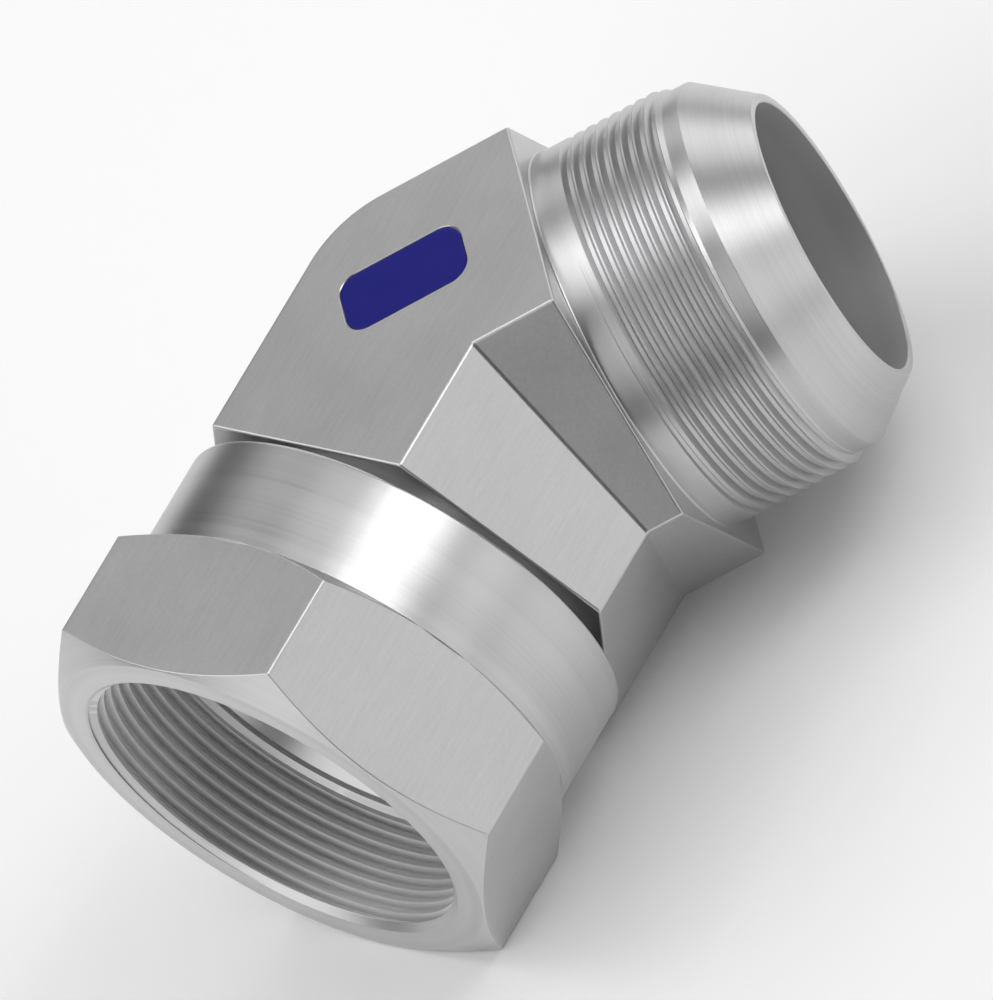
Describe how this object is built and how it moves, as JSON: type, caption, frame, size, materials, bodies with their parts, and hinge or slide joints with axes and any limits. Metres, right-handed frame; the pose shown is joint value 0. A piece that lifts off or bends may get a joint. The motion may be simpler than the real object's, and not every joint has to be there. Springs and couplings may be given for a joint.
{
  "type": "swivel nut elbow fitting",
  "caption": "Forty-five degree tube elbow with a flared male stud end and a swivelling six-sided nut, for joining two hydraulic lines at an angle.",
  "frame": {"origin": "on the swivel nut's axis, where its thread starts behind the mouth's countersink", "axes": "-X out of the swivel nut's mouth; the stud end leaves in the XY plane at 45 degrees, along (0.7071, -0.7071, 0); +Z square to the plane of the bend, through the flat face that carries the blue field"},
  "size_m": [0.1314, 0.0989, 0.0734],
  "materials": {
    "body_steel": "satin zinc-plated steel",
    "nut_steel": "satin zinc-plated steel",
    "wire_steel": "drawn spring wire",
    "blue_enamel": "satin enamel"
  },
  "bodies": {
    "body": {"elbow_body": "body_steel", "retaining_wire": "wire_steel"},
    "nut": {"swivel_nut": "nut_steel"}
  },
  "joints": [
    {"name": "nut_spin", "type": "hinge", "parent": "body", "child": "nut", "pos_m": [0.03, 0, 0], "axis": [-1, 0, 0], "continuous": true}
  ]
}
